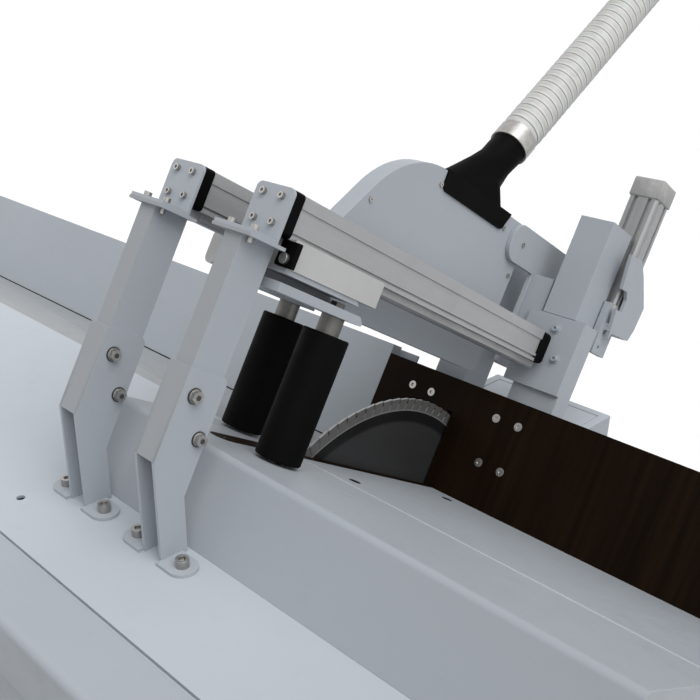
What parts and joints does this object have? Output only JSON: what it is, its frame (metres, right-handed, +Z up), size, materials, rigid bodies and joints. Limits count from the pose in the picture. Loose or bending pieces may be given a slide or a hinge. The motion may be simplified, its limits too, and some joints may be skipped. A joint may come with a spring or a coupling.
{
  "type": "optimizing crosscut saw",
  "caption": "Optimizing crosscut saw: leaning table and fence on a cabinet, spring-loaded feed rollers under twin beams, rising blade and a lowering blade hood with suction hose.",
  "frame": {"origin": "floor level under the middle of the machine's width and depth, hose left out", "axes": "+X along the feed from infeed to outfeed, +Y from the operator to the fence side, +Z up"},
  "size_m": [2.3, 1.465, 1.92],
  "materials": {
    "grey_paint": "semi-gloss powder coat",
    "zinc_sheet": "worn zinc-plated sheet",
    "table_steel": "brushed, worn by boards",
    "aluminium": "anodised, satin",
    "steel": "machined",
    "dark_paint": "dark grey, satin",
    "brown_board": "phenolic board",
    "black_plastic": "moulded",
    "black_rubber": "ribbed",
    "blade_steel": "polished",
    "hose": "ribbed flexible hose"
  },
  "bodies": {
    "base": {"base_frame": "grey_paint", "levelling_feet": "steel", "side_panels": "grey_paint", "rear_panel": "grey_paint", "rear_deck": "grey_paint", "infeed_stand": "grey_paint", "deck_sheet": "zinc_sheet", "front_apron": "zinc_sheet", "wedge_table": "zinc_sheet", "saw_bed": "table_steel", "kerf_insert": "brown_board", "table_screws": "steel", "infeed_fence": "zinc_sheet", "fence_board": "brown_board", "fence_screws": "steel", "post_forks": "steel", "post_channels": "zinc_sheet", "post_bolts": "steel", "beam_brackets": "zinc_sheet", "bracket_screws": "steel", "roller_beams": "aluminium", "beam_caps": "black_plastic", "beam_shelves": "aluminium", "left_column": "grey_paint", "right_column": "grey_paint", "column_cover": "grey_paint", "lift_mount": "aluminium", "lift_cylinder": "aluminium", "hood_rail": "steel", "saw_guides": "steel", "stroke_cylinder": "aluminium"},
    "door": {"cabinet_door": "grey_paint", "door_latch": "black_plastic"},
    "left_slide_body": {"left_carriage": "aluminium", "left_carriage_end": "black_plastic", "left_roller_arm": "dark_paint", "left_roller_shaft": "steel"},
    "left_roller_body": {"left_roller": "black_rubber"},
    "right_slide_body": {"right_carriage": "aluminium", "right_carriage_end": "black_plastic", "right_roller_arm": "dark_paint", "right_roller_shaft": "steel"},
    "right_roller_body": {"right_roller": "black_rubber"},
    "hood": {"hood_shell": "grey_paint", "hood_arm": "grey_paint", "hood_screws": "steel", "hood_slider": "grey_paint", "lift_rod": "steel", "suction_nozzle": "black_plastic", "suction_spigot": "steel", "suction_hose": "hose", "hose_coupling": "steel"},
    "saw_unit": {"saw_plate": "dark_paint", "arbor_housing": "grey_paint", "motor": "grey_paint", "drive_belt": "black_rubber", "stroke_rod": "steel"},
    "blade_body": {"saw_blade": "blade_steel", "arbor_shaft": "steel"},
    "motor_rotor": {"motor_shaft": "steel"}
  },
  "joints": [
    {"name": "door_hinge", "type": "hinge", "parent": "base", "child": "door", "pos_m": [0.209, -0.583, 0.4], "axis": [0, 0, -1], "range_deg": [0, 110]},
    {"name": "left_carriage_slide", "type": "slide", "parent": "base", "child": "left_slide_body", "axis": [0, 0.866, -0.5], "range_m": [-0.082, 0.308]},
    {"name": "left_roller_spin", "type": "hinge", "parent": "left_slide_body", "child": "left_roller_body", "pos_m": [0.45, -0.12886, 0.97728], "axis": [0, 0.5, 0.866], "continuous": true},
    {"name": "right_carriage_slide", "type": "slide", "parent": "base", "child": "right_slide_body", "axis": [0, 0.866, -0.5], "range_m": [0, 0.39]},
    {"name": "right_roller_spin", "type": "hinge", "parent": "right_slide_body", "child": "right_roller_body", "pos_m": [0.607, -0.19987, 1.01828], "axis": [0, 0.5, 0.866], "continuous": true},
    {"name": "hood_slide", "type": "slide", "parent": "base", "child": "hood", "axis": [0, -0.5, -0.866], "range_m": [0, 0.17]},
    {"name": "saw_slide", "type": "slide", "parent": "base", "child": "saw_unit", "axis": [0, -0.5, -0.866], "range_m": [0, 0.15]},
    {"name": "blade_spin", "type": "hinge", "parent": "saw_unit", "child": "blade_body", "pos_m": [0.52, 0.01115, 0.60778], "axis": [1, 0, 0], "continuous": true},
    {"name": "motor_spin", "type": "hinge", "parent": "saw_unit", "child": "motor_rotor", "pos_m": [0.65, -0.25742, 0.46261], "axis": [1, 0, 0], "continuous": true}
  ],
  "couplings": [
    {"joint": "motor_spin", "follows": "blade_spin", "ratio": 1}
  ]
}
